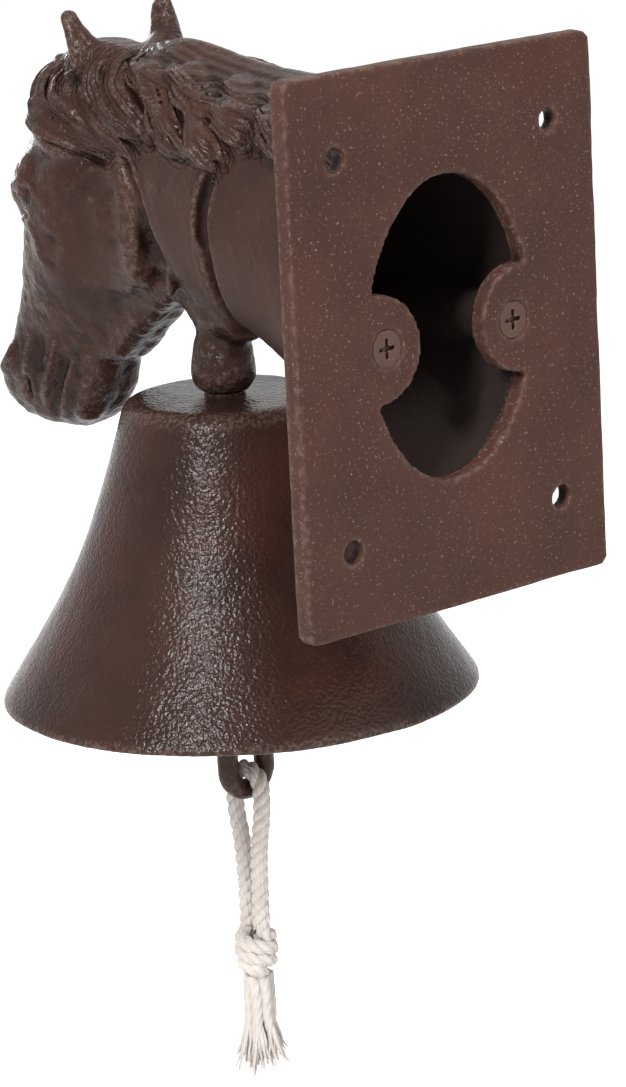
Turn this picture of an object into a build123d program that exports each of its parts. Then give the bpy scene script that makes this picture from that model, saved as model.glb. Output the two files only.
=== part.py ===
from build123d import *
import math
import os

# Wall bell: a horse head cast hollow at the neck, screwed to a flat cast plate, with a flared
# bell bolted under the neck and a clapper pulled by a short cotton cord.
# Millimetres. The origin is the middle of the plate's back face, which lies on the wall.
# The horse looks along -Y, away from the wall, +Z is up and +X is the horse's left.

# Back plate
plate_width = 86.0
plate_height = 116.0
plate_thick = 4.0
plate_corner = 2.5
wall_hole_dia = 5.0
wall_hole_spacing_x = 60.0
wall_hole_spacing_z = 81.0
opening_half_width = 23.0
opening_half_height = 32.0
opening_lift = 1.5
tongue_gap = 18.0
tongue_radius = 11.6

# Countersunk screws that hold the head to the plate
screw_spacing = 36.0
screw_dia = 4.0
screw_head_dia = 8.0
screw_head_rim = 0.3
screw_length = 16.0
screw_sink = 0.25
slot_width = 0.9
slot_length = 4.4
slot_depth = 1.3
thread_clearance = 0.05
hole_clearance = 0.2
pillar_radius = 5.5
pillar_depth = 44.0

# Neck, from the plate to the throat. Each row is one cross-section: the (Y, Z) of its crest side
# and of its throat side, with Y from the plate's front face, then its half width, and how full
# it is near the crest and near the throat.
neck_wall = 4.5
hollow_end_wall = 9.0
neck_sections = [
    ((0.0, 49.0), (0.0, -37.0), 29.0, 0.66, 0.72),
    ((-20.0, 49.6), (-20.0, -22.0), 26.0, 0.64, 0.72),
    ((-44.0, 51.0), (-45.0, -9.0), 21.5, 0.60, 0.72),
    ((-66.0, 54.0), (-66.0, -4.0), 18.0, 0.56, 0.68),
    ((-82.0, 56.0), (-82.0, -1.0), 16.0, 0.56, 0.62),
    ((-96.0, 54.0), (-90.0, 3.0), 13.5, 0.60, 0.62),
    ((-105.0, 46.0), (-101.0, 10.0), 7.0, 0.60, 0.62),
]

# Face, from the poll down to the lips, in the same form
face_sections = [
    ((-106.5, 54.6), (-92.0, 53.4), 5.0, 0.75, 0.75),
    ((-116.0, 50.5), (-84.0, 44.0), 12.6, 0.70, 0.66),
    ((-123.5, 40.0), (-79.0, 27.0), 17.0, 0.66, 0.64),
    ((-128.0, 28.0), (-80.5, 12.0), 18.0, 0.66, 0.66),
    ((-131.0, 15.0), (-87.0, 0.0), 16.8, 0.62, 0.64),
    ((-135.0, 2.0), (-96.5, -9.0), 13.8, 0.62, 0.60),
    ((-140.0, -8.0), (-104.5, -17.0), 11.5, 0.66, 0.62),
    ((-145.5, -17.0), (-108.5, -25.0), 11.0, 0.72, 0.68),
    ((-145.5, -25.0), (-111.5, -31.0), 10.0, 0.72, 0.68),
    ((-139.5, -32.5), (-119.0, -36.0), 6.0, 0.74, 0.70),
]

# Ears, eyes and nostrils, each given for the horse's left side
# An ear's rows go from inside the head to the middle of its round tip, each with its radius
ear_rows = [
    ((6.0, -92.6, 45.0), 6.2),
    ((9.4, -95.2, 50.4), 5.2),
    ((11.2, -96.8, 54.0), 4.0),
    ((12.4, -98.4, 57.6), 3.2),
    ((13.2, -100.2, 61.0), 2.1),
]
ear_cup_radius = 2.2
ear_cup_offset = 2.6
eye_centre = (11.6, -114.0, 24.0)
eye_radius = 7.4
nostril_centre = (6.6, -134.5, -19.0)
nostril_radius = 5.8

# Mane and forelock for the left side, repeated on the right. Each lock is a row of (Y, Z) places
# that lie on the head's surface, then its half width and how far it stands proud.
locks = [
    ([(-112.0, 51.0), (-116.0, 43.5), (-108.0, 36.5), (-93.0, 32.5)], 5.0, 2.8),
    ([(-102.0, 49.0), (-100.0, 43.0), (-93.0, 37.0), (-83.0, 32.5)], 4.0, 2.4),
    ([(-93.0, 51.5), (-88.0, 46.0), (-82.0, 40.5), (-75.5, 35.5)], 4.2, 2.8),
    ([(-84.0, 52.5), (-78.0, 48.0), (-71.0, 43.5), (-62.0, 37.0)], 4.6, 2.6),
    ([(-70.0, 51.0), (-63.0, 47.0), (-56.5, 41.0), (-50.0, 33.0)], 4.6, 2.6),
    ([(-55.0, 49.5), (-48.5, 46.0), (-43.0, 41.0), (-38.0, 35.0)], 4.6, 2.4),
    ([(-40.0, 48.0), (-33.0, 44.5), (-27.5, 39.5), (-23.0, 34.5)], 4.6, 2.2),
    ([(-24.0, 47.5), (-17.0, 44.0), (-11.0, 39.0), (-6.5, 35.0)], 4.4, 2.0),
]
lock_sink = 1.4
lock_start_share = 0.75
lock_end_share = 0.3

# Strap round the neck, from its upper end to the throat
strap_top = (-49.5, 33.0)
strap_low = (-58.0, -6.0)
strap_width = 2.2
strap_proud = 0.9

# Jowl on each side of the face, a round plate that follows the face's surface
jowl_centre = (-100.0, 15.0)
jowl_radius = 15.0
jowl_proud = 0.9

# Boss under the neck, widest a little above its bottom
bell_axis_y = -74.0
boss_bottom_z = -21.2
boss_height = 21.2
boss_top_radius = 4.2
boss_wide_radius = 7.2
boss_wide_height = 5.4
boss_bottom_radius = 5.0

# Bell. The flare's rows are shares: of the way from crown to rim, and of the bell's height.
spacer_radius = 4.6
spacer_thick = 0.8
bell_height = 67.5
bell_rim_radius = 53.5
bell_crown_radius = 22.4
bell_shoulder = 4.0
bell_wall = 3.5
bell_side_wall = 3.85
bell_rim_wall = 4.0
bell_crown_thick = 4.0
bell_rim_round = 0.8
bell_flare = [(0.135, 0.207), (0.244, 0.356), (0.386, 0.519), (0.566, 0.674), (0.778, 0.830)]

# Hanger bolt with its washer and nut
bolt_dia = 6.0
bolt_thread_depth = 11.0
bolt_end_gap = 0.5
washer_radius = 7.0
washer_thick = 1.0
nut_across_flats = 10.0
nut_thick = 3.2
hanger_neck = 0.8
hanger_wire_radius = 1.6
hanger_eye_radius = 4.4

# Link and clapper
hang_clearance = 0.3
link_wire_radius = 1.4
link_length = 7.0
stem_radius = 2.8
stem_taper = 5.0
stem_end_share = 0.7
striker_radius = 12.5
striker_drop = 34.6
rope_eye_drop = 65.0
rope_eye_wire = 2.4
rope_eye_radius = 5.3
rope_eye_straight = 6.3

# Cotton cord, its knot and its frayed tails
cord_dia = 4.0
strand_length = 32.4
strand_gap = 0.5
strand_spread_drop = 5.2
strand_close_drop = 15.0
knot_radius = 5.6
knot_height = 12.8
knot_round = 2.0
tail_length = 22.2
tail_top_radius = 3.4
tail_end_radius = 6.0

# Places that follow from the sizes above
plate_front = -plate_thick
bell_top_z = boss_bottom_z - spacer_thick
crown_under_z = bell_top_z - bell_crown_thick
nut_top_z = crown_under_z - washer_thick
nut_under_z = nut_top_z - nut_thick
hanger_eye_z = nut_under_z - hanger_neck - hanger_wire_radius - hanger_eye_radius
link_pivot_z = hanger_eye_z - hanger_eye_radius
clapper_pivot_z = link_pivot_z - link_length
link_bend_radius = hanger_wire_radius + hang_clearance + link_wire_radius
clapper_eye_z = clapper_pivot_z - hanger_eye_radius
striker_z = clapper_pivot_z - striker_drop
rope_bar_z = clapper_pivot_z - rope_eye_drop
rope_bend_radius = rope_eye_wire + hang_clearance + cord_dia / 2
knot_top_z = rope_bar_z - strand_length
tail_top_z = knot_top_z - knot_height


def section(crest, throat, half_width, crest_fullness, throat_fullness):
    """One closed cross-section of neck or face, on the plane through both points and the X direction."""
    run_y = crest[0] - throat[0]
    run_z = crest[1] - throat[1]
    span = math.hypot(run_y, run_z)
    half = span / 2
    middle = (0, plate_front + (crest[0] + throat[0]) / 2, (crest[1] + throat[1]) / 2)
    plane = Plane(origin=middle, x_dir=(1, 0, 0), z_dir=(0, -run_z / span, run_y / span))
    side = [
        (crest_fullness * half_width, 0.72 * half),
        (half_width, 0.08 * half),
        (throat_fullness * half_width, -0.68 * half),
    ]
    other_side = [(-x, y) for x, y in reversed(side)]
    return plane * make_face(Spline((0, half), *side, (0, -half), *other_side, periodic=True))


def pulled_in(row, wall):
    """The same section with a wall's thickness taken off all round."""
    crest, throat, half_width, crest_fullness, throat_fullness = row
    run_y = crest[0] - throat[0]
    run_z = crest[1] - throat[1]
    share = wall / math.hypot(run_y, run_z)
    inner_crest = (crest[0] - share * run_y, crest[1] - share * run_z)
    inner_throat = (throat[0] + share * run_y, throat[1] + share * run_z)
    return inner_crest, inner_throat, half_width - wall, crest_fullness, throat_fullness


def ring(mean_radius, wire_radius, centre_z):
    """A round ring of round wire in the XZ plane, on the bell's axis."""
    return Pos(0, bell_axis_y, centre_z) * Rot(X=90) * Torus(mean_radius, wire_radius)


def along_axis(z_low, z_high, radius):
    """An upright cylinder on the bell's axis, between two heights."""
    return Pos(0, bell_axis_y, (z_low + z_high) / 2) * Cylinder(radius, z_high - z_low)


def back_plate():
    plate = Pos(0, -plate_thick / 2, 0) * Box(plate_width, plate_thick, plate_height)
    plate = fillet(plate.edges().filter_by(Axis.Y), plate_corner)
    outline = Ellipse(opening_half_width, opening_half_height)
    oval = Pos(0, 0, opening_lift) * Rot(X=90) * extrude(outline, 3 * plate_thick, both=True)
    tongue_centre = tongue_gap / 2 + tongue_radius
    for side in (-1, 1):
        oval -= Pos(side * tongue_centre, 0, 0) * Rot(X=90) * Cylinder(tongue_radius, 8 * plate_thick)
    plate -= oval
    hole = Rot(X=90) * Cylinder(wall_hole_dia / 2, 4 * plate_thick)
    for x in (-wall_hole_spacing_x / 2, wall_hole_spacing_x / 2):
        for z in (-wall_hole_spacing_z / 2, wall_hole_spacing_z / 2):
            plate -= Pos(x, 0, z) * hole
    for side in (-1, 1):
        plate -= Pos(side * screw_spacing / 2, 0, 0) * Rot(X=90) * screw_space()
    return plate


def screw_space():
    """The countersunk hole for one screw, with its mouth at height 0 and the shank going up."""
    head_radius = screw_head_dia / 2
    shank_radius = screw_dia / 2
    seat = screw_sink + screw_head_rim
    hole_radius = shank_radius + hole_clearance
    profile = Polyline(
        (0, -1),
        (head_radius + screw_sink, -1),
        (head_radius + screw_sink, 0),
        (head_radius, screw_sink),
        (head_radius, seat),
        (hole_radius, seat + head_radius - hole_radius),
        (hole_radius, plate_thick + 1),
        (0, plate_thick + 1),
        close=True,
    )
    return revolve(Plane.XZ * make_face(profile), Axis.Z)


def plate_screw(side):
    head_radius = screw_head_dia / 2
    shank_radius = screw_dia / 2
    seat = screw_sink + screw_head_rim
    profile = Polyline(
        (0, screw_sink),
        (head_radius, screw_sink),
        (head_radius, seat),
        (shank_radius, seat + head_radius - shank_radius),
        (shank_radius, screw_length - 1),
        (shank_radius - 1, screw_length),
        (0, screw_length),
        close=True,
    )
    screw = revolve(Plane.XZ * make_face(profile), Axis.Z)
    for turn in (0, 90):
        screw -= Pos(0, 0, screw_sink + slot_depth / 2) * Rot(Z=turn) * Box(slot_length, slot_width, slot_depth)
    return Pos(side * screw_spacing / 2, 0, 0) * Rot(X=90) * screw


def ear(side):
    places = [Vector(side * x, plate_front + y, z) for (x, y, z), radius in ear_rows]
    radii = [radius for place, radius in ear_rows]
    run = places[-1] - places[1]
    shape = loft([Plane(origin=place, z_dir=run) * Circle(radius) for place, radius in zip(places, radii)])
    shape += Pos(*places[-1]) * Sphere(radii[-1])
    forward = Vector(side * 0.3, -1, 0).normalized()
    cup_rows = []
    for place, radius in zip(places[1:], radii[1:]):
        cup_rows.append((place + forward * (radius + ear_cup_radius - ear_cup_offset * radius / radii[1]), radius))
    cup = loft([Plane(origin=place, z_dir=run) * Circle(ear_cup_radius * radius / radii[1]) for place, radius in cup_rows])
    return shape - cup


def surface_place(body, y, z):
    """Where the line through (y, z) along X meets the body's left side, with the surface's direction there."""
    line = Axis((0, plate_front + y, z), (1, 0, 0))
    hits = [(point, normal) for point, normal in body.find_intersection_points(line) if point.X > 0]
    return max(hits, key=lambda hit: hit[0].X)


def lock(body, path, half_width, proud):
    """One lock of hair on the left side: a loft of flat ovals along places on the surface."""
    hits = [surface_place(body, y, z) for y, z in path]
    places = [point - normal * lock_sink for point, normal in hits]
    ovals = []
    for index, (point, normal) in enumerate(hits):
        run = places[min(index + 1, len(places) - 1)] - places[max(index - 1, 0)]
        across = run.cross(normal)
        share = lock_start_share if index == 0 else lock_end_share if index == len(hits) - 1 else 1.0
        oval = Ellipse(share * half_width, share * (proud + lock_sink))
        ovals.append(Plane(origin=places[index], x_dir=across, z_dir=run) * oval)
    return loft(ovals)


def strap(rows):
    """A band round the neck: the neck's own sections made larger, cut by a thin tilted slab."""
    larger = loft([section(*pulled_in(row, -strap_proud)) for row in rows])
    run = Vector(0, strap_low[0] - strap_top[0], strap_low[1] - strap_top[1])
    middle = (0, plate_front + (strap_top[0] + strap_low[0]) / 2, (strap_top[1] + strap_low[1]) / 2)
    along = Plane(origin=middle, x_dir=(1, 0, 0), z_dir=run)
    return larger & (along * Box(plate_width, strap_width, run.length))


def jowl(rows, side):
    """A round plate that follows the side of the face."""
    larger = loft([section(*pulled_in(row, -jowl_proud)) for row in rows])
    y, z = jowl_centre
    disc = Pos(side * plate_width / 4, plate_front + y, z) * Rot(Y=90) * Cylinder(jowl_radius, plate_width / 2)
    return larger & disc


def ball(point, radius, side):
    return Pos(side * point[0], plate_front + point[1], point[2]) * Sphere(radius)


def neck_hollow():
    rows = [pulled_in(row, neck_wall) for row in neck_sections[:3]]
    last = pulled_in(neck_sections[3], neck_wall + hollow_end_wall)
    return loft([section(*row) for row in rows + [last]])


def screw_pillars(neck):
    pillars = None
    for side in (-1, 1):
        centre = (side * screw_spacing / 2, plate_front - pillar_depth / 2, 0)
        web_x = side * (screw_spacing / 2 + pillar_radius)
        column = Pos(*centre) * Rot(X=90) * Cylinder(pillar_radius, pillar_depth)
        column += Pos(web_x, centre[1], 0) * Box(2 * pillar_radius, pillar_depth, pillar_radius)
        column &= neck
        pillars = column if pillars is None else pillars + column
    return pillars


def boss():
    top_z = boss_bottom_z + boss_height
    outline = [
        Line((0, boss_bottom_z), (boss_bottom_radius, boss_bottom_z)),
        Spline(
            (boss_bottom_radius, boss_bottom_z),
            (boss_wide_radius, boss_bottom_z + boss_wide_height),
            (boss_top_radius, top_z),
            tangents=[(1, 0.4), (-0.1, 1)],
        ),
        Line((boss_top_radius, top_z), (0, top_z)),
        Line((0, top_z), (0, boss_bottom_z)),
    ]
    return Pos(0, bell_axis_y, 0) * revolve(Plane.XZ * make_face(outline), Axis.Z)


def head():
    neck = loft([section(*row) for row in neck_sections])
    face = loft([section(*row) for row in face_sections])
    casting = neck + face
    casting += strap(neck_sections[1:5])
    hair = [lock(casting, *row) for row in locks]
    for side in (-1, 1):
        casting += jowl(face_sections[1:6], side)
        casting += ball(eye_centre, eye_radius, side)
        casting += ball(nostril_centre, nostril_radius, side)
        casting += ear(side)
    for piece in hair:
        casting += piece
        casting += mirror(piece, about=Plane.YZ)
    casting += boss()
    casting -= neck_hollow()
    casting += screw_pillars(neck)
    thread_hole = Rot(X=90) * Cylinder(screw_dia / 2 + thread_clearance, 2 * screw_length)
    for side in (-1, 1):
        casting -= Pos(side * screw_spacing / 2, plate_front, 0) * thread_hole
    bore_top = boss_bottom_z + bolt_thread_depth + bolt_end_gap
    casting -= along_axis(boss_bottom_z - 1, bore_top, bolt_dia / 2 + thread_clearance)
    return casting


def washer(z_low, z_high, radius):
    return along_axis(z_low, z_high, radius) - along_axis(z_low - 1, z_high + 1, bolt_dia / 2 + hole_clearance)


def bell():
    under = bell_top_z - bell_height
    spread = bell_rim_radius - bell_crown_radius
    outer = [(bell_crown_radius + wide * spread, bell_top_z - low * bell_height) for wide, low in bell_flare]
    inner = [(radius - bell_side_wall, z) for radius, z in outer]
    inner_crown = bell_crown_radius - bell_wall
    inner_rim = bell_rim_radius - bell_rim_wall
    bore = bolt_dia / 2 + hole_clearance
    rim_side = (bell_rim_radius, under + bell_rim_round)
    rim_under = (bell_rim_radius - bell_rim_round, under)
    diagonal = bell_rim_round * (1 - math.sqrt(0.5))
    edges = [
        Line((bore, bell_top_z), (bell_crown_radius, bell_top_z)),
        Spline((bell_crown_radius, bell_top_z), *outer, rim_side),
        ThreePointArc(rim_side, (bell_rim_radius - diagonal, under + diagonal), rim_under),
        Line(rim_under, (inner_rim, under)),
        Spline((inner_rim, under), *reversed(inner), (inner_crown, crown_under_z)),
        Line((inner_crown, crown_under_z), (bore, crown_under_z)),
        Line((bore, crown_under_z), (bore, bell_top_z)),
    ]
    shell = revolve(Plane.XZ * make_face(edges), Axis.Z)
    rings = shell.edges().filter_by(GeomType.CIRCLE).sort_by(SortBy.RADIUS)
    at_top = [edge for edge in rings if abs(edge.center().Z - bell_top_z) < 0.01]
    return Pos(0, bell_axis_y, 0) * fillet(at_top[-1:], bell_shoulder)


def hanger_bolt():
    shank_low = hanger_eye_z + hanger_eye_radius
    rod = along_axis(shank_low, boss_bottom_z + bolt_thread_depth, bolt_dia / 2)
    return rod + ring(hanger_eye_radius, hanger_wire_radius, hanger_eye_z)


def hanger_nut():
    bottom = Pos(0, bell_axis_y, nut_under_z)
    hexagon = bottom * extrude(RegularPolygon(nut_across_flats / 2, 6, major_radius=False), nut_thick)
    return hexagon - along_axis(nut_under_z - 1, nut_top_z + 1, bolt_dia / 2 + thread_clearance)


def closed_loop(bend_radius, low_z, high_z, wire_radius):
    """A long ring of round wire in the YZ plane: two half turns joined by straight legs."""
    disc = Plane(origin=(bend_radius, 0, 0), z_dir=(0, 1, 0)) * Circle(wire_radius)
    half_turn = revolve(disc, Axis.Z, revolution_arc=180)
    loop = Pos(0, high_z, 0) * half_turn
    loop += Pos(0, low_z, 0) * Rot(Z=180) * half_turn
    for side in (-1, 1):
        leg = Pos(side * bend_radius, (low_z + high_z) / 2, 0) * Rot(X=90) * Cylinder(wire_radius, high_z - low_z)
        loop += leg
    return Pos(0, bell_axis_y, 0) * Rot(Z=90) * Rot(X=90) * loop


def clapper_link():
    return closed_loop(link_bend_radius, clapper_pivot_z, link_pivot_z, link_wire_radius)


def striker_rod(low_z, low_wire, high_z, high_wire, seam_turn=37.0):
    """The clapper's stem and ball, turned in one profile, with each end tapered into an eye's wire."""
    half = math.sqrt(striker_radius**2 - stem_radius**2)
    points = [
        (stem_radius, striker_z - half),
        (stem_radius, low_z + stem_taper),
        (stem_end_share * low_wire, low_z),
        (0, low_z),
        (0, high_z),
        (stem_end_share * high_wire, high_z),
        (stem_radius, high_z - stem_taper),
        (stem_radius, striker_z + half),
    ]
    outline = Polyline(*points) + ThreePointArc(points[-1], (striker_radius, striker_z), points[0])
    rod = revolve(Plane.XZ * make_face(outline), Axis.Z)
    return Pos(0, bell_axis_y, 0) * Rot(Z=seam_turn) * rod


def clapper():
    low_bend_z = rope_bar_z + rope_eye_radius
    high_bend_z = low_bend_z + rope_eye_straight
    rope_eye = closed_loop(rope_eye_radius, low_bend_z, high_bend_z, rope_eye_wire)
    across = Pos(0, bell_axis_y, 0) * Rot(Z=90) * Pos(0, -bell_axis_y, 0) * rope_eye
    upper_eye_low_z = clapper_eye_z - hanger_eye_radius
    rod = striker_rod(high_bend_z + rope_eye_radius, rope_eye_wire, upper_eye_low_z, hanger_wire_radius)
    return ring(hanger_eye_radius, hanger_wire_radius, clapper_eye_z) + rod + across


def pull_cord():
    """The doubled cord: from the knot up, over the bar of the rope eye and down to the knot."""
    near = (cord_dia + strand_gap) / 2
    wide = rope_bend_radius
    top = rope_bar_z + rope_bend_radius
    spread_z = rope_bar_z - strand_spread_drop
    close_z = rope_bar_z - strand_close_drop
    half = [(near, knot_top_z), (near, close_z), (wide, spread_z), (wide, top)]
    points = half + [(-y, z) for y, z in reversed(half)]
    runs = [math.dist(a, b) for a, b in zip(points, points[1:])]
    radii = []
    for index in range(1, len(points) - 1):
        before = Vector(*points[index]) - Vector(*points[index - 1])
        after = Vector(*points[index + 1]) - Vector(*points[index])
        turn = math.radians(before.get_angle(after))
        over_the_bar = turn > 1.5
        share = 0.45 * min(runs[index - 1], runs[index]) / math.tan(turn / 2)
        radii.append(0.99 * rope_bend_radius if over_the_bar else share)
    print("cord radii", [round(radius, 1) for radius in radii])
    path = FilletPolyline(*points, radius=radii)
    tube = sweep(Plane(origin=(near, knot_top_z, 0), z_dir=(0, 1, 0)) * Circle(cord_dia / 2), path=path)
    straight_volume = path.length * math.pi * (cord_dia / 2) ** 2
    print("cord length", round(path.length, 1), "volume share", round(tube.volume / straight_volume, 4))
    return Pos(0, bell_axis_y, 0) * Rot(Z=90) * Rot(X=90) * tube


def cord_knot():
    barrel = along_axis(tail_top_z, knot_top_z, knot_radius)
    return fillet(barrel.edges().filter_by(GeomType.CIRCLE), knot_round)


def cord_tails():
    middle = Pos(0, bell_axis_y, tail_top_z - tail_length / 2)
    return middle * Cone(tail_end_radius, tail_top_radius, tail_length)


nodes = {
    "back_plate": back_plate(),
    "horse_head": head(),
    "plate_screw_left": plate_screw(1),
    "plate_screw_right": plate_screw(-1),
    "bell_spacer": washer(bell_top_z, boss_bottom_z, spacer_radius),
    "bell": bell(),
    "hanger_bolt": hanger_bolt(),
    "hanger_washer": washer(nut_top_z, crown_under_z, washer_radius),
    "hanger_nut": hanger_nut(),
    "clapper_link": clapper_link(),
    "clapper": clapper(),
    "pull_cord": pull_cord(),
    "cord_knot": cord_knot(),
    "cord_tails": cord_tails(),
}

os.makedirs("parts", exist_ok=True)
for name, solid in nodes.items():
    export_step(solid, f"parts/{name}.step")
    print(name, round(solid.volume / 1000, 2), "cm3")
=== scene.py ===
import math
import random
import bpy
import bmesh
import numpy as np
from mathutils import Matrix, Vector, noise
from mathutils.bvhtree import BVHTree


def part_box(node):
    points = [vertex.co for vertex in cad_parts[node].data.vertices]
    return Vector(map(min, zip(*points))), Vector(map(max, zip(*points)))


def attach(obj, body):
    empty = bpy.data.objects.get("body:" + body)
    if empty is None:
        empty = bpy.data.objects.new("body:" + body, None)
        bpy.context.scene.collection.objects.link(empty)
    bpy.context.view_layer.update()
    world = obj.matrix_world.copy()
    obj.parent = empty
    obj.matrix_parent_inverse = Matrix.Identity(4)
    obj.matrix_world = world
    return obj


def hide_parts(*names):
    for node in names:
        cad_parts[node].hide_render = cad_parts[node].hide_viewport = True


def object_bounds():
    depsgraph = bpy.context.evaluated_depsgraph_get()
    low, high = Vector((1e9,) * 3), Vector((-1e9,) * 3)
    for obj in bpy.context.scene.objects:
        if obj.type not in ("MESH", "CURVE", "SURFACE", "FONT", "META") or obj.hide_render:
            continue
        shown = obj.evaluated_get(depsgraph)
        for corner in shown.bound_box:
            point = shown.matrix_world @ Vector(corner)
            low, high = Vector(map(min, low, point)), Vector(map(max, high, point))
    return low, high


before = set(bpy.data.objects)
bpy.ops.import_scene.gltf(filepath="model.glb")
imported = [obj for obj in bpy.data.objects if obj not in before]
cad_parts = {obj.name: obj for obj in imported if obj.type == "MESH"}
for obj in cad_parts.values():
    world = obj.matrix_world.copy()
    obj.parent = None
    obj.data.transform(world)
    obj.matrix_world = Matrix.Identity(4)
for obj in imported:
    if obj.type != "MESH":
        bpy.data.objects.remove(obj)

cadBox = [list(corner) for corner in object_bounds()]
mm = 0.001

# camera
view = {"azimuth": 138.89, "elevation": 14.26, "roll": -3.01, "distance": 0.86767,
        "aside": -0.03098, "raised": -0.04167, "focalPixels": 4200.0, "longSide": 1087.0}


def makeCamera():
    a, e, roll = (math.radians(view[key]) for key in ("azimuth", "elevation", "roll"))
    back = Vector((math.sin(a) * math.cos(e), -math.cos(a) * math.cos(e), math.sin(e)))
    right = Vector((math.cos(a), math.sin(a), 0))
    up = back.cross(right)
    place = right * view["aside"] + up * view["raised"] + back * view["distance"]
    turnedRight = right * math.cos(roll) + up * math.sin(roll)
    turnedUp = up * math.cos(roll) - right * math.sin(roll)
    turn = Matrix((turnedRight, turnedUp, back)).transposed()
    data = bpy.data.cameras.new("camera")
    data.sensor_width = 36
    data.lens = view["focalPixels"] / view["longSide"] * data.sensor_width
    camera = bpy.data.objects.new("camera", data)
    camera.matrix_world = Matrix.Translation(place) @ turn.to_4x4()
    bpy.context.scene.collection.objects.link(camera)
    bpy.context.scene.camera = camera


makeCamera()
print("camera placed")


# materials
def freshMaterial(name):
    material = bpy.data.materials.new(name)
    material.use_nodes = True
    nodes = material.node_tree.nodes
    return material, nodes, material.node_tree.links, nodes["Principled BSDF"]


def objectNoise(nodes, links, scale, detail=3.0, roughness=0.55, stretch=(1, 1, 1),
                distortion=0.0):
    where = nodes.new("ShaderNodeTexCoord")
    mapping = nodes.new("ShaderNodeMapping")
    mapping.inputs["Scale"].default_value = stretch
    texture = nodes.new("ShaderNodeTexNoise")
    texture.inputs["Scale"].default_value = scale
    texture.inputs["Detail"].default_value = detail
    texture.inputs["Roughness"].default_value = roughness
    texture.inputs["Distortion"].default_value = distortion
    links.new(where.outputs["Object"], mapping.inputs["Vector"])
    links.new(mapping.outputs["Vector"], texture.inputs["Vector"])
    return texture.outputs["Fac"]


def ramp(nodes, links, value, stops):
    node = nodes.new("ShaderNodeValToRGB")
    elements = node.color_ramp.elements
    while len(elements) < len(stops):
        elements.new(0.5)
    for element, (place, colour) in zip(elements, stops):
        element.position = place
        element.color = (*colour, 1) if hasattr(colour, "__len__") else (colour, colour, colour, 1)
    links.new(value, node.inputs["Fac"])
    return node.outputs["Color"]


def mixed(nodes, links, share, first, second):
    node = nodes.new("ShaderNodeMix")
    node.data_type = "RGBA"
    for name, value in (("Factor", share), ("A", first), ("B", second)):
        socket = node.inputs[name]
        if isinstance(value, bpy.types.NodeSocket):
            links.new(value, socket)
        elif hasattr(value, "__len__"):
            socket.default_value = (*value, 1)
        else:
            socket.default_value = value
    return node.outputs["Result"]


def times(nodes, links, first, second, how="MULTIPLY"):
    node = nodes.new("ShaderNodeMath")
    node.operation = how
    for socket, value in zip(node.inputs, (first, second)):
        if isinstance(value, bpy.types.NodeSocket):
            links.new(value, socket)
        else:
            socket.default_value = value
    return node.outputs["Value"]


def bumps(nodes, links, shader, layers):
    # layers are (height, distance, strength) from coarse to fine
    before = None
    for height, distance, strength in layers:
        node = nodes.new("ShaderNodeBump")
        node.inputs["Distance"].default_value = distance
        node.inputs["Strength"].default_value = strength
        links.new(height, node.inputs["Height"])
        if before is not None:
            links.new(before, node.inputs["Normal"])
        before = node.outputs["Normal"]
    links.new(before, shader.inputs["Normal"])


def attribute(nodes, name):
    node = nodes.new("ShaderNodeAttribute")
    node.attribute_name = name
    return node.outputs["Fac"]


# painted light by relief: a lighter painted highlight on ridges and a near-black painted shade in
# recesses
paintedGlintAndShade = {"share": 0.55, "colour": (0.115, 0.075, 0.062), "shadeColour": (0.008, 0.0045, 0.0035)}
# what all paints share: noise scales, bump distances, and how the head's own marks act; hollow is
# a near-black painted shade for the walls of the neck's hollow
paintPlan = {"broad": 45, "patches": 26, "fine": 2.6, "fineDepth": 0.12, "broadDepth": 0.0004,
             "hollow": (0.014, 0.0085, 0.007), "hollowGloss": 0.75, "mattGloss": 0.6,
             "mattEven": 0.55, "strandWidth": 0.00125, "strandDepth": 0.00016, "strandSway": 9.0}


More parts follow.
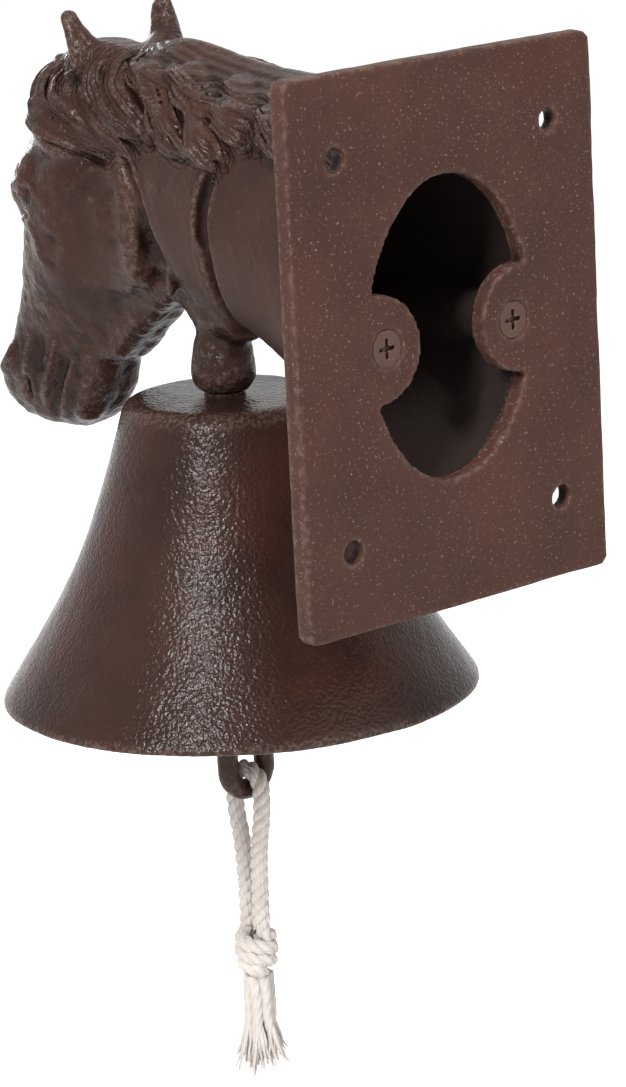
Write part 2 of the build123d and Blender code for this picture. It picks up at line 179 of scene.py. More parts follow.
def castPaint(name, base, deep, red, specks, roughness, peel, onHead=False):
    material, nodes, links, shader = freshMaterial(name)
    plan = paintPlan

    def grey(value):
        return (value, value, value)

    broad = objectNoise(nodes, links, plan["broad"], 4)
    patches = objectNoise(nodes, links, plan["patches"], 3, distortion=0.6)
    dust = objectNoise(nodes, links, specks["scale"], 2, 0.7)
    grain = objectNoise(nodes, links, peel["scale"], peel["detail"], 0.5)
    fine = objectNoise(nodes, links, peel["scale"] * plan["fine"], 2, 0.6)
    colour = mixed(nodes, links, ramp(nodes, links, broad, [(0.35, 0.0), (0.66, 1.0)]), deep, base)
    redder = ramp(nodes, links, patches, [(0.5, 0.0), (0.72, 1.0)])
    colour = mixed(nodes, links, times(nodes, links, redder, red["share"]), colour, red["colour"])
    pale = ramp(nodes, links, dust, [(specks["from"], 0.0), (specks["from"] + 0.035, 1.0)])
    pale = times(nodes, links, pale, specks["share"])
    colour = mixed(nodes, links, pale, colour, specks["colour"])
    gloss = ramp(nodes, links, fine, [(0.3, roughness[0]), (0.7, roughness[1])])
    relief = attribute(nodes, "relief")
    # painted highlight: ridges turn lighter in grain-broken spots that stand in for glints
    paintedGlint = times(nodes, links, ramp(nodes, links, relief, [(0.58, 0.0), (0.9, 1.0)]),
                 ramp(nodes, links, grain, [(0.45, 0.1), (0.62, 1.0)]))
    colour = mixed(nodes, links, times(nodes, links, paintedGlint, paintedGlintAndShade["share"]), colour, paintedGlintAndShade["colour"])
    # painted shade: recesses are darkened towards a near-black colour
    paintedShade = ramp(nodes, links, relief, [(0.08, 0.75), (0.44, 0.0)])
    colour = mixed(nodes, links, paintedShade, colour, paintedGlintAndShade["shadeColour"])
    layers = [(broad, plan["broadDepth"], 0.5), (grain, peel["depth"], 1.0),
              (fine, peel["depth"] * plan["fineDepth"], 0.8)]
    if onHead:
        matt = attribute(nodes, "matt")
        gloss = mixed(nodes, links, matt, gloss, grey(plan["mattGloss"]))
        even = times(nodes, links, 1.0, times(nodes, links, matt, plan["mattEven"]), "SUBTRACT")
        layers[1] = (times(nodes, links, grain, even), peel["depth"], 1.0)
        turns = 2 * math.pi / plan["strandWidth"]
        wave = times(nodes, links, attribute(nodes, "strand"), turns)
        wave = times(nodes, links, wave, times(nodes, links, broad, plan["strandSway"]), "ADD")
        wave = times(nodes, links, wave, 0.0, "SINE")
        strands = times(nodes, links, wave, attribute(nodes, "combed"))
        layers.insert(1, (strands, plan["strandDepth"], 1.0))
        # painted shade: the walls of the neck's hollow are coloured near black for the shade
        # inside it
        hollowShade = attribute(nodes, "hollow")
        colour = mixed(nodes, links, hollowShade, colour, plan["hollow"])
        gloss = mixed(nodes, links, hollowShade, gloss, grey(plan["hollowGloss"]))
    links.new(colour, shader.inputs["Base Color"])
    links.new(gloss, shader.inputs["Roughness"])
    shader.inputs["Specular IOR Level"].default_value = peel["specular"]
    bumps(nodes, links, shader, layers)
    return material


plateFinish = castPaint(
    "platePaint", (0.057, 0.0255, 0.0185), (0.043, 0.0195, 0.0145),
    {"colour": (0.080, 0.026, 0.017), "share": 0.25},
    {"scale": 1350, "from": 0.632, "share": 0.45, "colour": (0.27, 0.205, 0.18)}, (0.40, 0.60),
    {"scale": 560, "detail": 2.5, "depth": 0.00014, "specular": 0.1})
headFinish = castPaint(
    "headPaint", (0.041, 0.0195, 0.0145), (0.024, 0.0115, 0.009),
    {"colour": (0.055, 0.016, 0.010), "share": 0.2},
    {"scale": 900, "from": 0.70, "share": 0.3, "colour": (0.22, 0.17, 0.15)}, (0.13, 0.36),
    {"scale": 1200, "detail": 1.2, "depth": 0.00019, "specular": 0.11}, onHead=True)
bellFinish = castPaint(
    "bellPaint", (0.035, 0.0155, 0.0115), (0.020, 0.0095, 0.0075),
    {"colour": (0.060, 0.016, 0.010), "share": 0.5},
    {"scale": 900, "from": 0.72, "share": 0.15, "colour": (0.16, 0.12, 0.10)}, (0.11, 0.26),
    {"scale": 1150, "detail": 1.3, "depth": 0.00027, "specular": 0.14})
screwFinish = castPaint(
    "screwPaint", (0.066, 0.027, 0.018), (0.046, 0.019, 0.013),
    {"colour": (0.080, 0.022, 0.014), "share": 0.4},
    {"scale": 1200, "from": 0.68, "share": 0.4, "colour": (0.25, 0.2, 0.18)}, (0.34, 0.52),
    {"scale": 1100, "detail": 2.5, "depth": 0.00006, "specular": 0.35})
clapperFinish = castPaint(
    "clapperPaint", (0.040, 0.017, 0.011), (0.024, 0.010, 0.007),
    {"colour": (0.055, 0.017, 0.010), "share": 0.5},
    {"scale": 900, "from": 0.7, "share": 0.2, "colour": (0.18, 0.14, 0.12)}, (0.22, 0.45),
    {"scale": 900, "detail": 1.5, "depth": 0.00020, "specular": 0.15})


def zincFinish():
    material, nodes, links, shader = freshMaterial("zincSteel")
    cloud = objectNoise(nodes, links, 160, 4)
    colour = ramp(nodes, links, cloud, [(0.3, (0.30, 0.29, 0.27)), (0.7, (0.52, 0.51, 0.49))])
    links.new(colour, shader.inputs["Base Color"])
    shader.inputs["Metallic"].default_value = 1.0
    links.new(ramp(nodes, links, cloud, [(0.3, 0.5), (0.7, 0.3)]), shader.inputs["Roughness"])
    bumps(nodes, links, shader, [(objectNoise(nodes, links, 1800, 2), 0.00005, 0.6)])
    return material


def cottonFinish():
    material, nodes, links, shader = freshMaterial("cotton")
    broad = objectNoise(nodes, links, 90, 3)
    fibres = objectNoise(nodes, links, 900, 4, 0.7, (1, 1, 0.22))
    colour = ramp(nodes, links, broad, [(0.3, (0.53, 0.475, 0.44)), (0.7, (0.63, 0.585, 0.55))])
    shade = ramp(nodes, links, fibres, [(0.3, 0.4), (0.6, 0.0)])
    colour = mixed(nodes, links, shade, colour, (0.42, 0.37, 0.32))
    links.new(colour, shader.inputs["Base Color"])
    shader.inputs["Roughness"].default_value = 0.92
    shader.inputs["Specular IOR Level"].default_value = 0.2
    shader.inputs["Sheen Weight"].default_value = 0.35
    shader.inputs["Sheen Roughness"].default_value = 0.5
    bumps(nodes, links, shader, [(fibres, 0.00022, 0.8)])
    return material


hardwareFinish = zincFinish()
cottonMaterial = cottonFinish()
print("materials made")


# pieces
def newPiece(name, mesh, body, material):
    piece = bpy.data.objects.new(name, mesh)
    bpy.context.scene.collection.objects.link(piece)
    mesh.materials.clear()
    mesh.materials.append(material)
    mesh.polygons.foreach_set("use_smooth", [True] * len(mesh.polygons))
    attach(piece, body)
    return piece


def mergedCopy(node, name):
    shape = bmesh.new()
    shape.from_mesh(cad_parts[node].data)
    bmesh.ops.remove_doubles(shape, verts=shape.verts, dist=1e-6)
    mesh = bpy.data.meshes.new(name)
    shape.to_mesh(mesh)
    shape.free()
    return mesh


def remeshed(mesh, voxel):
    holder = bpy.data.objects.new("holder", mesh)
    bpy.context.scene.collection.objects.link(holder)
    modifier = holder.modifiers.new("voxels", "REMESH")
    modifier.mode = "VOXEL"
    modifier.voxel_size = voxel
    modifier.use_smooth_shade = True
    bpy.context.view_layer.update()
    depsgraph = bpy.context.evaluated_depsgraph_get()
    result = bpy.data.meshes.new_from_object(holder.evaluated_get(depsgraph))
    bpy.data.objects.remove(holder)
    return result


def points(mesh):
    values = np.empty(len(mesh.vertices) * 3)
    mesh.vertices.foreach_get("co", values)
    return values.reshape(-1, 3)


def directions(mesh):
    values = np.empty(len(mesh.vertices) * 3)
    mesh.vertices.foreach_get("normal", values)
    return values.reshape(-1, 3)


def moveTo(mesh, places):
    mesh.vertices.foreach_set("co", places.astype(np.float32).ravel())
    mesh.update()


def ripple(mesh, layers, share=1.0):
    # sand-cast unevenness: layers of (size in metres, height in metres)
    places, normals = points(mesh), directions(mesh)
    lift = np.zeros(len(places))
    for size, height in layers:
        lift += height * np.array([noise.noise(Vector(place) / size) for place in places])
    moveTo(mesh, places + normals * (lift * share)[:, None])


def keepValues(mesh, name, values):
    layer = mesh.attributes.new(name, "FLOAT", "POINT")
    layer.data.foreach_set("value", values.astype(np.float32))


reliefPlan = {"passes": 7, "height": 0.00050}


def markRelief(mesh):
    # about 0.5 on even surfaces, towards 1 on ridges and 0 in recesses
    places, normals = points(mesh), directions(mesh)
    ends = np.empty(2 * len(mesh.edges), dtype=np.int32)
    mesh.edges.foreach_get("vertices", ends)
    first, second = ends.reshape(-1, 2).T
    here, there = np.r_[first, second], np.r_[second, first]
    count = np.maximum(1, np.bincount(here, minlength=len(places)))
    even = places.copy()
    for _ in range(reliefPlan["passes"]):
        sums = [np.bincount(here, even[there, k], len(places)) for k in range(3)]
        even = np.stack(sums, axis=1) / count[:, None]
    height = ((places - even) * normals).sum(axis=1)
    keepValues(mesh, "relief", np.clip(0.5 + height / reliefPlan["height"], 0, 1))


def castCopy(node, name, voxel, layers, body, slot, material):
    mesh = remeshed(mergedCopy(node, name + "Source"), voxel)
    mesh.name = name
    ripple(mesh, layers)
    markRelief(mesh)
    piece = newPiece(name, mesh, body, material)
    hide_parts(node)
    print(name, len(mesh.polygons), "faces")


# cord
cordPlan = {"diameter": 0.004, "axisY": -0.074, "bend": 0.0047, "near": 0.00225,
            "spread": 0.0052, "close": 0.015, "ply": 0.00108, "offset": 0.00096, "lay": 0.0085,
            "yarnTurns": 1.6}
knotLow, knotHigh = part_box("cord_knot")
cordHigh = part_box("pull_cord")[1].z
barHeight = cordHigh - cordPlan["diameter"] / 2 - cordPlan["bend"]


def splineRoute(name, controls, resolution):
    # points along the smooth NURBS line through a route's given points
    curve = bpy.data.curves.new(name, "CURVE")
    curve.dimensions = "3D"
    spline = curve.splines.new("NURBS")
    spline.points.add(len(controls) - 1)
    for point, place in zip(spline.points, controls):
        point.co = (*place, 1)
    spline.order_u = 3
    spline.use_endpoint_u = True
    spline.resolution_u = resolution
    holder = bpy.data.objects.new(name, curve)
    bpy.context.scene.collection.objects.link(holder)
    bpy.context.view_layer.update()
    mesh = bpy.data.meshes.new_from_object(holder)
    route = [vertex.co.copy() for vertex in mesh.vertices]
    bpy.data.objects.remove(holder)
    bpy.data.meshes.remove(mesh)
    return route


def evenly(route, step):
    # the same line with its points an even step apart
    lengths = [0.0]
    for a, b in zip(route, route[1:]):
        lengths.append(lengths[-1] + (b - a).length)
    count = max(2, round(lengths[-1] / step))
    result, k = [], 0
    for i in range(count + 1):
        target = lengths[-1] * i / count
        while k < len(route) - 2 and lengths[k + 1] < target:
            k += 1
        share = (target - lengths[k]) / max(1e-12, lengths[k + 1] - lengths[k])
        result.append(route[k].lerp(route[k + 1], share))
    return result


def frames(route):
    # a side vector at each point that turns as little as it can along the line
    last = len(route) - 1
    tangents = [(route[min(i + 1, last)] - route[max(i - 1, 0)]).normalized()
                for i in range(last + 1)]
    side = tangents[0].orthogonal().normalized()
    sides = []
    for tangent in tangents:
        side = (side - tangent * side.dot(tangent)).normalized()
        sides.append(side.copy())
    return tangents, sides


def yarnTube(name, route, radius, lobes=5, lobeDepth=0.12, twist=0.0, swell=None, sides=20):
    # a tube with a lobed section that twists along its line; radius follows swell
    profile = bpy.data.curves.new(name + "Profile", "CURVE")
    profile.dimensions = "2D"
    ring = profile.splines.new("POLY")
    ring.points.add(sides - 1)
    ring.use_cyclic_u = True
    for i, point in enumerate(ring.points):
        angle = 2 * math.pi * i / sides
        reach = radius * (1 - lobeDepth + lobeDepth * abs(math.cos(lobes * angle / 2)) * 1.6)
        point.co = (reach * math.cos(angle), reach * math.sin(angle), 0, 1)
    profileHolder = bpy.data.objects.new(name + "Profile", profile)
    curve = bpy.data.curves.new(name, "CURVE")
    curve.dimensions = "3D"
    line = curve.splines.new("POLY")
    line.points.add(len(route) - 1)
    for i, (point, place) in enumerate(zip(line.points, route)):
        point.co = (*place, 1)
        point.tilt = twist * i / (len(route) - 1)
        point.radius = swell(i / (len(route) - 1)) if swell else 1.0
    curve.bevel_mode = "OBJECT"
    curve.bevel_object = profileHolder
    curve.use_fill_caps = True
    holder = bpy.data.objects.new(name, curve)
    for item in (holder, profileHolder):
        bpy.context.scene.collection.objects.link(item)
    bpy.context.view_layer.update()
    depsgraph = bpy.context.evaluated_depsgraph_get()
    mesh = bpy.data.meshes.new_from_object(holder.evaluated_get(depsgraph))
    for item in (holder, profileHolder):
        bpy.data.objects.remove(item)
    return mesh


def joined(name, meshes):
    shape = bmesh.new()
    for mesh in meshes:
        shape.from_mesh(mesh)
    bmesh.ops.remove_doubles(shape, verts=shape.verts, dist=1e-7)
    bmesh.ops.recalc_face_normals(shape, faces=shape.faces)
    result = bpy.data.meshes.new(name)
    shape.to_mesh(result)
    shape.free()
    return result


def twistedPlies(name, route, count, plyRadius, offset, lay, phase=0.0, spread=None):
    # count plies laid round one line, each with its own twisted yarns
    line = evenly(route, 0.0004)
    tangents, sides = frames(line)
    plies = []
    for ply in range(count):
        path, run = [], 0.0
        for i, place in enumerate(line):
            if i:
                run += (place - line[i - 1]).length
            angle = phase + 2 * math.pi * (ply / count + run / lay)
            across = tangents[i].cross(sides[i])
            reach = offset * (spread(i / (len(line) - 1)) if spread else 1.0)
            path.append(place + reach * (math.cos(angle) * sides[i] + math.sin(angle) * across))
        twist = -run / lay * 2 * math.pi * cordPlan["yarnTurns"]
        plies.append(yarnTube(f"{name}{ply}", path, plyRadius, twist=twist))
    return plies


def cordRoute():
    near, bend = cordPlan["near"], cordPlan["bend"]
    half = [(near, knotHigh.z), (near, barHeight - cordPlan["close"]),
            (bend, barHeight - cordPlan["spread"]), (bend, barHeight + bend)]
    both = half + [(-y, z) for y, z in reversed(half)]
    return [Vector((0, cordPlan["axisY"] + y, z)) for y, z in both]


route = splineRoute("cordRoute", cordRoute(), 24)
cordPlies = twistedPlies("ply", route, 3, cordPlan["ply"], cordPlan["offset"], cordPlan["lay"])
cordMesh = joined("pullCord", cordPlies)
pullCord = newPiece("pullCord", cordMesh, "clapper", cottonMaterial)
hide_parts("pull_cord")
cordLength = sum((b - a).length for a, b in zip(route, route[1:]))
print("cord length", round(cordLength, 4), "faces", len(cordMesh.polygons))


# knot and tails
knotPlan = {"turns": 1.45, "steps": 14, "wrap": 0.00365, "ply": 0.00094, "offset": 0.00082,
            "lay": 0.008, "above": 0.0022, "within": 0.0046, "waist": 0.14}


def knotStrand(start):
    # one cord of the doubled cord as it wraps down through the knot
    height = knotHigh.z - knotLow.z
    centre = Vector((0, cordPlan["axisY"], 0))
    controls = [centre + Vector((0, start * cordPlan["near"], knotHigh.z + 0.0005))]
    for i in range(knotPlan["steps"] + 1):
        share = i / knotPlan["steps"]
        angle = math.pi / 2 * start + 2 * math.pi * knotPlan["turns"] * share
        z = knotHigh.z - knotPlan["above"] - (height - knotPlan["within"]) * share
        swell = math.sin(math.pi * min(1, share * 1.3))
        reach = knotPlan["wrap"] * (1 - knotPlan["waist"] + knotPlan["waist"] * swell)
        controls.append(centre + Vector((reach * math.cos(angle), reach * math.sin(angle), z)))
    controls.append(centre + Vector((0.0008 * start, 0, knotLow.z)))
    return splineRoute("knotRoute", controls, 8)


knotMeshes = []
for start in (1, -1):
    knotMeshes += twistedPlies(f"knot{start}", knotStrand(start), 3, knotPlan["ply"],
                               knotPlan["offset"], knotPlan["lay"], start)
knotMesh = joined("cordKnot", knotMeshes)
knotPiece = newPiece("cordKnot", knotMesh, "clapper", cottonMaterial)
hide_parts("cord_knot")

tailPlan = {"plies": 6, "ringTop": 0.0021, "ringLow": 0.0030, "ply": 0.00138, "split": 0.60,
            "fibres": 26, "thin": 0.00028, "thick": 0.00048, "fan": 0.0031, "widest": 0.0068,
            "uneven": 0.0045, "sway": 0.0005, "seed": 11}


def flatVector(angle):
    return Vector((math.cos(angle), math.sin(angle), 0))


def fibreMesh(draws, start, out, lowZ):
    # one loose fibre that fans out from a ply's end
    aside = flatVector(draws.uniform(0, 2 * math.pi))
    away = draws.uniform(0.2, 1.0)
    fan = out * draws.uniform(0.1, 1.0) + aside * away
    reach = draws.uniform(0.5, 1.0)
    endZ = lowZ + draws.uniform(0.0, tailPlan["uneven"]) + (0.003 if draws.random() < 0.12 else 0)
    top = start + aside * 0.0007 * away + Vector((0, 0, 0.002))
    middle = top + fan * 0.0008
    middle.z = 0.5 * (top.z + endZ)
    end = top + fan * tailPlan["fan"] * reach
    flat = Vector((end.x, end.y - cordPlan["axisY"], 0))
    if flat.length > tailPlan["widest"]:
        flat *= tailPlan["widest"] / flat.length
        end = Vector((flat.x, flat.y + cordPlan["axisY"], end.z))
    end.z = endZ
    sway = Vector((draws.uniform(-1, 1), draws.uniform(-1, 1), 0)) * tailPlan["sway"]
    line = splineRoute("fibre", [top, middle + sway, middle.lerp(end, 0.6) - sway, end], 4)
    radius = draws.uniform(tailPlan["thin"], tailPlan["thick"])
    return yarnTube("fibre", line, radius, 3, 0.0, 2.0, lambda share: 1.0 - 0.75 * share ** 2, 6)


def tailMeshes():
    draws = random.Random(tailPlan["seed"])
    low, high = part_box("cord_tails")
    length = high.z - low.z
    centre = Vector((0, cordPlan["axisY"], 0))
    meshes = []
    for ply in range(tailPlan["plies"]):
        angle = 2 * math.pi * (ply + 0.3 * draws.random()) / tailPlan["plies"]
        controls = []
        for i in range(6):
            share = i / 5
            turned = angle + 0.9 * share + 0.25 * math.sin(6 * share + ply)
            reach = tailPlan["ringTop"] + (tailPlan["ringLow"] - tailPlan["ringTop"]) * share
            z = high.z + 0.001 - (length * tailPlan["split"] + 0.004) * share
            controls.append(centre + reach * flatVector(turned) + Vector((0, 0, z)))
        line = evenly(splineRoute("tailRoute", controls, 8), 0.0005)
        meshes.append(yarnTube(f"tail{ply}", line, tailPlan["ply"], 5, 0.2, 7.0,
                               lambda share: 1.0 - 0.25 * share, 16))
        for _ in range(tailPlan["fibres"]):
            meshes.append(fibreMesh(draws, line[-9], flatVector(turned), low.z))
    return meshes


tailMesh = joined("cordTails", tailMeshes())
tailPiece = newPiece("cordTails", tailMesh, "clapper", cottonMaterial)
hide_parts("cord_tails")
print("knot and tails made")


# head
def strokePath(path, count=9):
    # a smooth line through listed points, given as (y, z) in millimetres
    knots = [Vector((0, y * mm, z * mm)) for y, z in path]
    if len(knots) < 3:
        knots.insert(1, knots[0].lerp(knots[1], 0.5))
    extended = [2 * knots[0] - knots[1], *knots, 2 * knots[-1] - knots[-2]]
    result = []
    for i in range(1, len(extended) - 2):
        a, b, c, d = extended[i - 1:i + 3]
        for j in range(count):
            t = j / count
            result.append(0.5 * ((2 * b) + (c - a) * t + (2 * a - 5 * b + 4 * c - d) * t * t
                                 + (3 * b - a - 3 * c + d) * t ** 3))
    result.append(knots[-1])
    return np.array([(p.y, p.z) for p in result])


def nearStroke(flat, path):
    # distance, signed distance and share along the path, for points in the (y, z) plane
    best = np.full(len(flat), 1e9)
    signed = np.zeros(len(flat))
    along = np.zeros(len(flat))
    lengths = np.r_[0, np.cumsum(np.linalg.norm(np.diff(path, axis=0), axis=1))]
    for k in range(len(path) - 1):
        a, b = path[k], path[k + 1]
        run = b - a
        size = run @ run
        t = np.clip(((flat - a) @ run) / size, 0, 1)
        off = flat - (a + t[:, None] * run)
        distance = np.hypot(off[:, 0], off[:, 1])
        closer = distance < best
        side = np.sign(run[0] * off[:, 1] - run[1] * off[:, 0])
        best[closer] = distance[closer]
        signed[closer] = (distance * side)[closer]
        along[closer] = (lengths[k] + t * math.sqrt(size))[closer]
    return best, signed, along / lengths[-1]


headPlan = {"voxel": 0.00064, "smoothing": 16, "cheek": 36, "finish": 1,
            "hairVoxel": 0.00042, "seed": 3, "fineRadius": 0.6, "fineProud": 0.45,
            "strayX": 0.0265, "hollowFrom": -0.071, "combReach": 0.0024, "combFade": 0.0014,
            "combTop": 0.0565, "fineSpread": 1.12, "maneComb": 0.6,
            "ripples": [(0.006, 0.00018), (0.0018, 0.00010)],
            "lumps": [(0.0034, 0.00030), (0.0015, 0.00016)]}

# clay laid on the casting before it is fused: middle lines as (x, y, z, radius) in millimetres
clay = [
    # throat
    [(2.5, -107, -14, 4.6), (2.5, -100, -7.6, 4.8), (2.5, -91, -0.5, 4.8), (2.5, -83, 6, 5.6)],
    # chin
    [(2.6, -127, -30, 5.4), (2.6, -120, -28.4, 5.8), (2.6, -116, -23.5, 5.8),
     (2.6, -113.6, -17, 5.4), (2.6, -109, -11, 4.8)],
    # cheek edge
    [(10.6, -92.9, 30.6, 5.0), (11.0, -88.6, 27.0, 5.4), (11.1, -86.8, 22.8, 5.6),
     (11.0, -86.3, 18, 5.7), (10.7, -86.5, 13, 5.6), (9.9, -87.9, 9, 5.3),
     (8.9, -91.0, 5.8, 5.0), (7.8, -95.6, 3.4, 4.8)],
    # cheek
    [(10.6, -96, 26, 6.2), (10.6, -95, 18, 6.8), (9.6, -96, 11, 6.6), (8.6, -102, 5, 6.4)],
    # behind the cheek
    [(5.4, -82.4, 15, 4.0), (5.0, -85.3, 8.5, 4.2), (4.6, -90.5, 2.5, 4.4)],
    # brow
    [(9.4, -123.6, 25.5, 4.4), (9.8, -125.6, 20.5, 5.2), (10.6, -122.6, 15.5, 4.2)],
    # eyeball
    [(11.6, -119, 22.0, 4.5), (12.0, -117.4, 21.6, 4.5)],
    # ear
    [(13.4, -103.6, 61.8, 2.1), (13.1, -103.0, 58.8, 2.9), (12.5, -102.2, 55.4, 3.6),
     (11.3, -101.2, 52.2, 4.3), (9.8, -100.0, 49.2, 4.8)],
    # ear's root
    [(11.4, -100.4, 54.4, 3.2), (8.6, -98.4, 53.6, 3.5), (6, -96.5, 52.4, 3.6)],
    # under the neck
    [(0, -80.5, 0.6, 5.6), (0, -74, -2.4, 6.8), (0, -66, -2.6, 6.8)],
    # below the ear
    [(9.6, -96.5, 46.0, 5.0), (10.2, -93.5, 41.5, 4.6), (11.4, -90.0, 38.0, 4.2)],
    # forelock
    [(7.5, -114.5, 40.5, 6.2), (10.5, -108, 38.0, 5.8), (11.5, -101, 37.6, 5.2)],
]
# hair laid over it: path (y, z), half width of the lock, hairs in it, radius, how proud
hair = [
    ([(-118, 49), (-120, 45), (-117, 41.5), (-112, 39), (-107, 37.6), (-102, 35.6), (-97, 33),
     (-91, 31.4)], 2.3, 3, 0.9, 0.3),
    ([(-113, 51), (-116, 46.5), (-112.5, 42), (-107, 39.8), (-102, 37.8), (-96, 35.4),
     (-89.5, 32.8)], 2.4, 3, 0.9, 0.6),
    ([(-110, 49), (-107, 45), (-103, 42), (-98.5, 39.5), (-94, 36.8), (-88, 33.6)],
     2.2, 3, 0.9, 0.5),
    ([(-104, 47.5), (-101, 44), (-97.5, 41), (-94, 38), (-90, 35.4), (-85, 33)],
     1.8, 2, 0.95, 0.5),
    ([(-99.5, 47.5), (-98, 43.5), (-94.8, 40.5), (-90.5, 37.6), (-86, 35.2), (-81.5, 32)],
     1.8, 2, 1.0, 0.9),
    ([(-95.5, 54), (-94.8, 50.5), (-94, 47), (-91.5, 44), (-87.5, 41.2), (-83.4, 38.8),
     (-79.5, 36.4)], 2.3, 3, 1.0, 1.2),
    ([(-95, 54), (-92.5, 50.5), (-89.5, 47.2), (-85.5, 44.4), (-82.5, 41.8), (-79, 39),
     (-76, 36.4)], 2.0, 3, 1.0, 1.3),
    ([(-91, 53.4), (-85.6, 50.6), (-80, 48.0), (-76, 45.4), (-73.2, 42.6), (-71.8, 39.6),
     (-70, 37), (-65.6, 34.6)], 2.7, 3, 1.1, 1.2),
    ([(-84.5, 52.0), (-79.5, 50.0), (-74.5, 47.8), (-71, 44.8), (-68.4, 42), (-65, 39.6)],
     2.6, 3, 1.0, 0.7),
    ([(-79, 51.2), (-71.4, 49.0), (-65.6, 47.4), (-61, 45), (-57.8, 42.2), (-55, 39)],
     2.6, 3, 1.0, 0.9),
    ([(-71, 43), (-68.6, 40.6), (-66, 38.4), (-62, 36.2), (-57.4, 34.8)], 1.9, 2, 1.0, 1.1),
    ([(-75, 38.6), (-71, 36.8), (-67, 35.4), (-63.4, 34.2)], 1.4, 2, 0.8, 0.6),
    ([(-61, 44), (-57.6, 40.8), (-55.2, 37.6), (-53.2, 34.6), (-50.6, 32.2)], 2.2, 3, 0.9, 1.1),
    ([(-58, 43), (-55, 40.4), (-51, 37.2), (-48, 34.6)], 1.7, 2, 0.95, 1.0),
    ([(-61.5, 45.4), (-57, 44.2), (-50, 43.2), (-45.6, 40.8), (-42.2, 38)], 2.4, 3, 1.0, 1.1),
    ([(-54, 46), (-49, 43.4), (-45.2, 41.6), (-42, 39)], 1.6, 2, 0.9, 0.9),
    ([(-52.5, 45.4), (-47, 44.2), (-42, 42.6), (-38, 38.4)], 2.5, 3, 1.0, 0.9),
    ([(-43, 44.8), (-37, 43.0), (-32, 40.4), (-28.6, 36.8)], 2.6, 3, 1.0, 0.8),
    ([(-33, 44.2), (-27, 42.0), (-22, 39.4), (-19, 36.4)], 2.6, 3, 1.0, 0.8),
    ([(-22, 43.4), (-16, 41.6), (-11, 39), (-8, 36.6)], 2.4, 3, 1.0, 0.7),
    ([(-12, 43), (-8, 41.4), (-5, 39.6)], 1.8, 2, 1.0, 0.5),
]
# lines the hair is combed along where no lock is laid
combed = [
    [(-94, 56), (-86, 54.6), (-78, 53.2), (-70, 51.4), (-60, 49.6), (-50, 48.4), (-36, 47.6),
     (-20, 47), (-6, 46)],
    [(-88, 52.4), (-80, 51.4), (-72, 49.4), (-66, 48.2), (-56, 47.2), (-42, 46.2), (-24, 45.4),
     (-8, 44.6)],
]
# thin raised lines: path (y, z), radius, how proud
beads = [
    # upper lid
    ([(-123.4, 20.4), (-121.6, 23.2), (-118.4, 24.4), (-115, 23.0), (-113.2, 20.8)], 0.85, 0.3),
    # lower lid
    ([(-123.0, 19.8), (-120.4, 18.0), (-116.8, 18.2), (-113.8, 20.2)], 0.65, 0.2),
    # eyeball
    ([(-119.6, 21.2), (-118.4, 21.4), (-117.2, 21.4)], 2.4, -0.6),
    # collar line
    ([(-52.2, 33.4), (-53.6, 30.4), (-54.6, 27), (-55.2, 22.8), (-55.4, 17.6), (-55.2, 13.2),
     (-56.2, 8.4), (-57.6, 3), (-60, -2)], 0.9, 0.15),
    # face ridge
    ([(-126, 13.6), (-122, 15), (-118.4, 14.8), (-116, 12.4), (-115.2, 9), (-115.4, 4.4)],
     0.7, 0.15),
    # muzzle folds
    ([(-127.4, -12), (-129.6, -18), (-131.6, -23.5), (-133, -29)], 1.0, 0.25),
    ([(-119.4, -12), (-121.6, -17), (-123.8, -21.6), (-126.2, -26.4), (-127.8, -32)], 0.9, 0.15),
    ([(-115.6, -16), (-118.4, -21), (-121.2, -26.4), (-124, -31.6)], 0.8, 0.1),
]
# duller skin: middle (y, z) and reach
mattSkin = [
    (-68, 18, 9), (-44, 20, 13), (-28, 12, 16), (-20, 26, 14), (-62, 4, 9), (-48, 2, 12),
    (-101, 14, 9), (-106, 2, 9)
]
# the cheek's rolled edge and the neck's edge behind it, as (x, y, z, radius)
cheekRim = [
    (12.4, -90.2, 33.0, 1.2), (13.5, -86.2, 28.8, 1.5), (14.2, -83.9, 23.9, 1.6),
    (14.3, -83.3, 19.4, 1.7), (14.2, -83.5, 13.8, 1.7), (13.1, -85.2, 8.7, 1.6),
    (11.8, -88.6, 4.3, 1.5), (10.2, -92.6, 1.0, 1.2)
]
neckEdge = [
    (15.4, -83.4, 32.6, 1.1), (16.3, -79.8, 28.9, 1.1), (16.5, -77.4, 24.4, 1.1),
    (16.3, -75.6, 20.2, 1.1), (15.2, -75.2, 15.2, 1.1), (12.6, -76.8, 10.1, 1.1),
    (11.2, -77.8, 4.9, 1.0), (9.6, -78.8, 1.4, 1.0)
]
